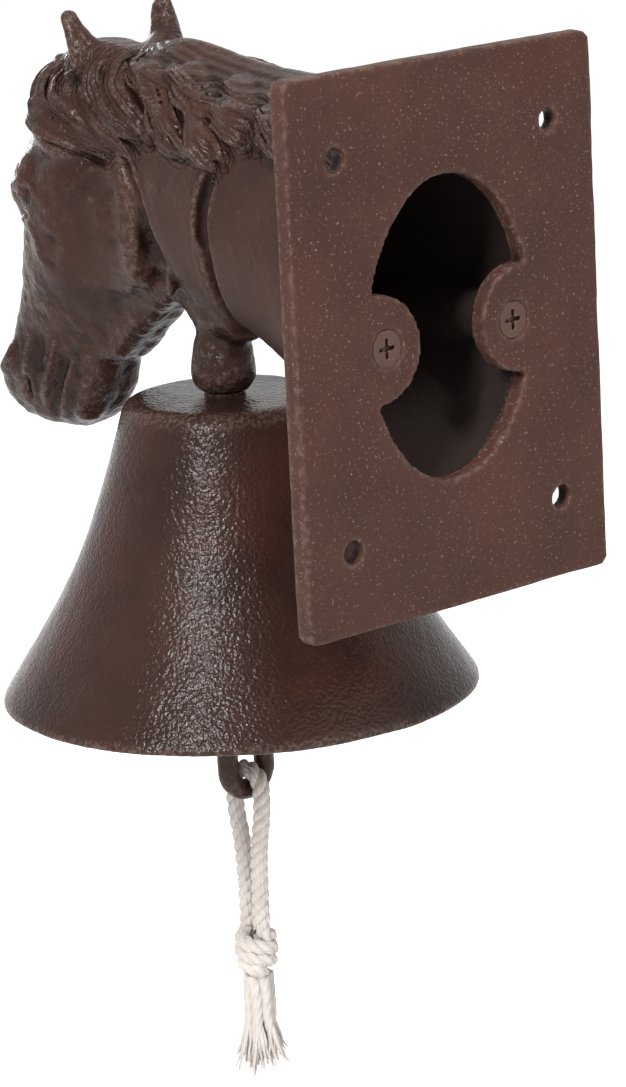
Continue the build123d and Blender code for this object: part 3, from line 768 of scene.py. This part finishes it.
# grooves and hollows: path (y, z), half width, depth, sharpness
strokes = [
    # pocket in the mane
    ([(-81.5, 47.6), (-78.6, 45), (-76.4, 42), (-75.8, 39), (-75.4, 36.6)], 1.7, -3.2, 1.5),
    # collar groove
    ([(-50.8, 33), (-51.6, 29.4), (-52.6, 26), (-53.2, 21.8), (-53.6, 17.3), (-53.2, 13.1),
     (-54.2, 8.3), (-55.8, 3), (-58, -2)], 1.0, -2.2, 1.4),
    # behind the cheek
    ([(-86.0, 33.2), (-83.0, 29.2), (-81.0, 25.0), (-80.0, 20), (-79.3, 15), (-79.7, 10.5),
     (-81.2, 6)], (0.9, 3.2), -3.8, 1.7),
    # under the forelock
    ([(-107.4, 35.6), (-103, 34.4), (-99, 32.2), (-95, 30.6), (-90.6, 29.6)], 0.9, -0.8, 1.3),
    ([(-109, 13.6), (-110.6, 9.6), (-112.2, 4.6)], 2.0, -0.7, 1.3),
    # nostril
    ([(-131.4, -22.6), (-131.8, -25.8), (-132.4, -29)], 0.9, -1.8, 1.4),
    ([(-124, -11), (-126.2, -17), (-128.2, -23), (-130.4, -29.4)], 1.3, -0.8, 1.2),
    ([(-118.6, -17), (-121.2, -23), (-123.8, -29), (-126.2, -33.4)], 1.0, -0.8, 1.2),
    ([(-114, -19), (-117, -25), (-120, -30.6), (-122.4, -33.6)], 1.2, -0.6, 1.1),
    # ear's hollow
    ([(-105.2, 60), (-104.4, 57), (-103.4, 53.6), (-102.2, 50.4)], 1.5, -1.9, 1.4),
]
# larger shifts of form: place (y, z), reach, move (y, z)
shifts = [
    ((-147, -14), 8.5, (2.2, -5.6)),
    ((-141, -3), 8.0, (1.6, -0.5)),
    ((-143, -31), 7.0, (-1.0, -0.6)),
    ((-93, 56), 8.0, (0, -1.6)),
    ((-102, 62), 5.5, (0, -1.2)),
    ((-120.5, 44), 8.5, (4.2, 0)),
]


def surfaceAt(tree, y, z):
    hit, normal, _, _ = tree.ray_cast(Vector((0.08, y, z)), Vector((-1, 0, 0)))
    return hit, normal


def addTubes(name, lines):
    # closed round tubes in one mesh; each line holds (place, radius) pairs
    curve = bpy.data.curves.new(name, "CURVE")
    curve.dimensions = "3D"
    curve.bevel_depth = mm
    curve.bevel_resolution = 3
    curve.use_fill_caps = True
    for line in lines:
        spline = curve.splines.new("POLY")
        spline.points.add(len(line) - 1)
        for point, (place, radius) in zip(spline.points, line):
            point.co = (*place, 1)
            point.radius = radius
    holder = bpy.data.objects.new(name, curve)
    bpy.context.scene.collection.objects.link(holder)
    bpy.context.view_layer.update()
    mesh = bpy.data.meshes.new_from_object(holder)
    bpy.data.objects.remove(holder)
    return mesh


def roundEnds(shape, line):
    # a ball at each end and joint of a clay line keeps it smooth when fused
    for place, radius in line:
        turn = Matrix.Translation(place) @ Matrix.Scale(radius * mm, 4)
        bmesh.ops.create_icosphere(shape, subdivisions=3, radius=1.0, matrix=turn)


def clayLine(row, side):
    rows = np.array(row, dtype=float)
    steps = np.linspace(0, len(rows) - 1, 6 * (len(rows) - 1) + 1)
    columns = [np.interp(steps, range(len(rows)), rows[:, k]) for k in range(4)]
    return [(Vector((side * x * mm, y * mm, z * mm)), radius) for x, y, z, radius in zip(*columns)]


def hairLines(tree, path, half, count, radius, proud):
    flat = strokePath(path, 5)
    hits = [surfaceAt(tree, y, z) for y, z in flat]
    hits = [(hit, normal) for hit, normal in hits if hit is not None]
    across = np.array([hit.x for hit, _ in hits])
    for _ in range(3):
        across[1:-1] = (across[:-2] + 2 * across[1:-1] + across[2:]) / 4
    lines = []
    last = len(hits) - 1
    for k in range(count):
        line = []
        for i, (hit, normal) in enumerate(hits):
            share = i / last
            before, after = hits[max(i - 1, 0)][0], hits[min(i + 1, last)][0]
            along = (after - before).normalized()
            aside = along.cross(normal).normalized()
            belly = 0.4 + 0.6 * math.sin(math.pi * min(1.0, 0.12 + share * 0.88))
            place = Vector((across[i], hit.y, hit.z))
            middle = 1 - abs(2 * k / max(1, count - 1) - 1) if count > 2 else 0.5
            sway = 0.25 * math.sin(5 * share + 2.1 * k)
            place += aside * ((k - (count - 1) / 2) * 2 * half / max(1, count) + sway) * belly * mm
            ends = min(1.0, 0.3 + share / 0.16, 0.45 + (1 - share) / 0.2)
            thick = radius * (0.45 + 0.55 * belly) * ends
            height = (proud + 0.35 * middle) * belly - 0.25 * thick - 0.8 * (1 - ends)
            place += normal * height * mm
            line.append((place, thick))
        lines.append(line)
    return lines


def headWithClay():
    mesh = mergedCopy("horse_head", "headSource")
    shape = bmesh.new()
    shape.from_mesh(mesh)
    for row in clay:
        for side in (1, -1):
            roundEnds(shape, clayLine(row, side))
    shape.to_mesh(mesh)
    shape.free()
    return mesh


def mirroredLines(lines):
    other = [[(Vector((-place.x, place.y, place.z)), radius) for place, radius in line]
             for line in lines]
    return lines + other


def hairAndBeads(mesh):
    shape = bmesh.new()
    shape.from_mesh(mesh)
    tree = BVHTree.FromBMesh(shape)
    lines = []
    for row in hair:
        lines += hairLines(tree, *row)
    for path, radius, proud in beads:
        lines += hairLines(tree, path, 0, 1, radius, proud)
    lines += [clayLine(cheekRim, 1), clayLine(neckEdge, 1)]
    tubes = addTubes("hairTubes", mirroredLines(lines))
    shape.from_mesh(tubes)
    shape.to_mesh(mesh)
    shape.free()
    bpy.data.meshes.remove(tubes)
    return mesh


def insideHollow(mesh):
    # 1 on the walls of the neck's hollow, 0 outside
    shape = bmesh.new()
    shape.from_mesh(mesh)
    tree = BVHTree.FromBMesh(shape)
    shape.free()
    places, normals = points(mesh), directions(mesh)
    marks = np.zeros(len(places))
    rays = [Vector(way) for way in ((1, 0, 0), (-1, 0, 0), (0, 0, 1), (0, 0, -1), (0, -1, 0))]
    for i, (place, normal) in enumerate(zip(places, normals)):
        if place[1] < headPlan["hollowFrom"] or abs(place[0]) > headPlan["strayX"]:
            continue
        start = Vector(place) + Vector(normal) * 0.0006
        walls = sum(tree.ray_cast(start, way, 0.09)[0] is not None for way in rays)
        marks[i] = walls >= 5
    return marks


def sculptHead(mesh, hollow):
    places, normals = points(mesh), directions(mesh)
    flat = places[:, 1:3]
    outside = 1.0 - hollow
    outward = normals[:, 0] * np.sign(places[:, 0])
    sideFacing = np.clip((outward - 0.12) / 0.35, 0, 1)
    lift = np.zeros(len(places))
    for path, half, height, sharpness in strokes:
        distance, _, along = nearStroke(flat, strokePath(path))
        taper = np.clip(along / 0.15, 0, 1) * np.clip((1 - along) / 0.15, 0, 1)
        width = np.interp(along, (0, 1), np.broadcast_to(half, 2)) * mm
        profile = np.exp(-np.abs(distance / width) ** (2 * sharpness) * 0.7)
        lift += profile * height * mm * (0.3 + 0.7 * taper) * sideFacing
    moved = places + normals * (lift * outside)[:, None]
    for (y, z), reach, (moveY, moveZ) in shifts:
        distance = np.hypot(flat[:, 0] - y * mm, flat[:, 1] - z * mm)
        share = np.exp(-(distance / (reach * mm)) ** 2) * outside
        moved[:, 1] += share * moveY * mm
        moved[:, 2] += share * moveZ * mm
    moveTo(mesh, moved)


def softened(mesh, passes, chosen=None):
    shape = bmesh.new()
    shape.from_mesh(mesh)
    shape.verts.ensure_lookup_table()
    verts = [vert for vert in shape.verts if chosen is None or chosen(vert.co)]
    for _ in range(passes):
        bmesh.ops.smooth_vert(shape, verts=verts, factor=0.5,
                              use_axis_x=True, use_axis_y=True, use_axis_z=True)
    shape.to_mesh(mesh)
    shape.free()
    mesh.update()


def bareSkin(place):
    # cheek, throat, face and muzzle, clear of hair, plate and hollow
    return place.z < 0.030 and place.y < -0.066


def cheekSkin(place):
    return -0.007 < place.z < 0.029 and -0.117 < place.y < -0.0885


def markHair(mesh, share):
    # strand: distance across the nearest combed line; combed: how much of a strand shows
    places = points(mesh)
    chosen = np.flatnonzero(places[:, 2] > 0.027)
    flat = places[chosen, 1:3]
    best = np.full(len(flat), 1e9)
    strand = np.zeros(len(flat))
    for path in [row[0] for row in hair] + combed:
        distance, signed, _ = nearStroke(flat, strokePath(path, 3))
        closer = distance < best
        best[closer], strand[closer] = distance[closer], signed[closer]
    beside = np.clip(1 - (best - headPlan["combReach"]) / headPlan["combFade"], 0, 1)
    under = np.clip((headPlan["combTop"] - places[chosen, 2]) / 0.0015, 0, 1)
    shown = beside * under
    for name, values in (("strand", strand), ("combed", shown)):
        every = np.zeros(len(places))
        every[chosen] = values
        keepValues(mesh, name, every * share if name == "combed" else every)


def mattShare(places):
    # the even skin of neck and cheek, duller than the rugged parts
    total = np.zeros(len(places))
    for y, z, reach in mattSkin:
        square = (places[:, 1] - y * mm) ** 2 + (places[:, 2] - z * mm) ** 2
        total += np.exp(-square / (reach * mm) ** 2)
    return np.clip(total, 0, 1)


def ruggedShare(places):
    # face, muzzle, throat and boss, where the casting is lumpy
    below = np.clip((0.031 - places[:, 2]) / 0.004, 0, 1)
    ahead = np.clip((-0.062 - places[:, 1]) / 0.004, 0, 1)
    return below * ahead * (1 - mattShare(places))


def makeMane(head):
    # finer hairs over the locks, fused on their own so that they stay crisp
    shape = bmesh.new()
    shape.from_mesh(head)
    tree = BVHTree.FromBMesh(shape)
    shape.free()
    draws = random.Random(headPlan["seed"])
    lines = []
    for path, half, count, _, proud in hair:
        lifted = [(y + draws.uniform(-0.4, 0.4), z + draws.uniform(-0.3, 0.3)) for y, z in path]
        lines += hairLines(tree, lifted, headPlan["fineSpread"] * half, count + 1,
                           headPlan["fineRadius"], headPlan["fineProud"])
    mesh = addTubes("mane", mirroredLines(lines))
    mesh = remeshed(mesh, headPlan["hairVoxel"])
    mesh.name = "castMane"
    softened(mesh, 1)
    markRelief(mesh)
    markHair(mesh, headPlan["maneComb"])
    piece = newPiece("castMane", mesh, "bracket", headFinish)
    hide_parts("horse_head")
    print("mane made,", len(mesh.polygons), "faces")


def makeHead():
    mesh = remeshed(headWithClay(), headPlan["voxel"])
    softened(mesh, headPlan["smoothing"], bareSkin)
    softened(mesh, headPlan["cheek"], cheekSkin)
    mesh = remeshed(hairAndBeads(mesh), headPlan["voxel"])
    mesh.name = "horseHead"
    softened(mesh, headPlan["finish"])
    hollow = insideHollow(mesh)
    sculptHead(mesh, hollow)
    ripple(mesh, headPlan["ripples"])
    ripple(mesh, headPlan["lumps"], ruggedShare(points(mesh)) * (1 - hollow))
    keepValues(mesh, "hollow", hollow)
    markRelief(mesh)
    markHair(mesh, 1 - hollow)
    keepValues(mesh, "matt", mattShare(points(mesh)))
    piece = newPiece("horseHead", mesh, "bracket", headFinish)
    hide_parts("horse_head")
    print("head made,", len(mesh.polygons), "faces")
    makeMane(mesh)


makeHead()

# other castings and hardware
castPieces = [
    ("back_plate", "backPlate", 0.00062, [(0.018, 0.00022), (0.004, 0.00010)],
     "bracket", "plate_paint", plateFinish),
    ("bell", "castBell", 0.00078, [(0.02, 0.00022), (0.005, 0.00007), (0.0023, 0.00004)],
     "bracket", "bell_paint", bellFinish),
    ("plate_screw_left", "plateScrewLeft", 0.00020, [(0.002, 0.00003)],
     "bracket", "screw_paint", screwFinish),
    ("plate_screw_right", "plateScrewRight", 0.00020, [(0.002, 0.00003)],
     "bracket", "screw_paint", screwFinish),
    ("bell_spacer", "bellSpacer", 0.00030, [(0.002, 0.00005)],
     "bracket", "bell_paint", bellFinish),
    ("hanger_bolt", "hangerBolt", 0.00032, [(0.003, 0.00003)],
     "bracket", "hardware", hardwareFinish),
    ("hanger_washer", "hangerWasher", 0.00024, [(0.003, 0.00002)],
     "bracket", "hardware", hardwareFinish),
    ("hanger_nut", "hangerNut", 0.00026, [(0.003, 0.00002)],
     "bracket", "hardware", hardwareFinish),
    ("clapper_link", "clapperLink", 0.00030, [(0.003, 0.00003)],
     "link", "hardware", hardwareFinish),
    ("clapper", "castClapper", 0.00045, [(0.006, 0.00015), (0.002, 0.00007)],
     "clapper", "clapper_paint", clapperFinish),
]
for row in castPieces:
    castCopy(*row)
print("castings made")

# stage and lights
stagePlan = {"gap": 0.02, "size": 3.0, "glow": 0.55, "target": (0, -0.07, -0.04)}
# area lights that look at the target: place, size, power in watts
lights = {
    "keyStrip": ((0.67, 0.23, 0.46), (0.04, 0.42), 9),
    "topStrip": ((-0.02, 0.30, 0.72), (0.06, 0.2), 3.5),
    "frontStrip": ((-0.32, -1.0, 0.14), (0.1, 0.4), 1.2),
    "backFill": ((-0.2, 0.9, 0.3), (0.8, 0.8), 2.5),
}


def whenSeen(nodes, links):
    # 1 for rays that show the background: camera, glossy and transmission
    path = nodes.new("ShaderNodeLightPath")
    camera, glossy = path.outputs["Is Camera Ray"], path.outputs["Is Glossy Ray"]
    both = times(nodes, links, camera, glossy, "MAXIMUM")
    return times(nodes, links, both, path.outputs["Is Transmission Ray"], "MAXIMUM")


def makeFloor():
    shape = bmesh.new()
    bmesh.ops.create_grid(shape, x_segments=1, y_segments=1, size=stagePlan["size"])
    bmesh.ops.translate(shape, verts=shape.verts, vec=(0, 0, cadBox[0][2] - stagePlan["gap"]))
    mesh = bpy.data.meshes.new("floor")
    shape.to_mesh(mesh)
    shape.free()
    floor = bpy.data.objects.new("floor", mesh)
    bpy.context.scene.collection.objects.link(floor)
    material, nodes, links, shader = freshMaterial("paleFloor")
    shader.inputs["Base Color"].default_value = (0.86, 0.86, 0.86, 1)
    shader.inputs["Roughness"].default_value = 0.9
    shader.inputs["Emission Color"].default_value = (1, 1, 1, 1)
    glow = times(nodes, links, whenSeen(nodes, links), stagePlan["glow"])
    links.new(glow, shader.inputs["Emission Strength"])
    mesh.materials.append(material)


def makeWorld():
    world = bpy.data.worlds.new("studio")
    bpy.context.scene.world = world
    world.use_nodes = True
    nodes, links = world.node_tree.nodes, world.node_tree.links
    background = nodes["Background"]
    seen = whenSeen(nodes, links)
    background.inputs["Color"].default_value = (1, 1, 1, 1)
    strength = times(nodes, links, times(nodes, links, seen, 0.5), 0.5, "ADD")
    links.new(strength, background.inputs["Strength"])


def makeLight(name, place, size, power):
    data = bpy.data.lights.new(name, "AREA")
    data.shape = "RECTANGLE"
    data.size, data.size_y = size
    data.energy = power
    lamp = bpy.data.objects.new(name, data)
    lamp.location = place
    aim = Vector(stagePlan["target"]) - Vector(place)
    lamp.rotation_euler = aim.to_track_quat("-Z", "Y").to_euler()
    bpy.context.scene.collection.objects.link(lamp)


makeFloor()
makeWorld()
for name, light in lights.items():
    makeLight(name, *light)
bpy.context.scene.view_settings.view_transform = "Standard"
print("stage and lights made")
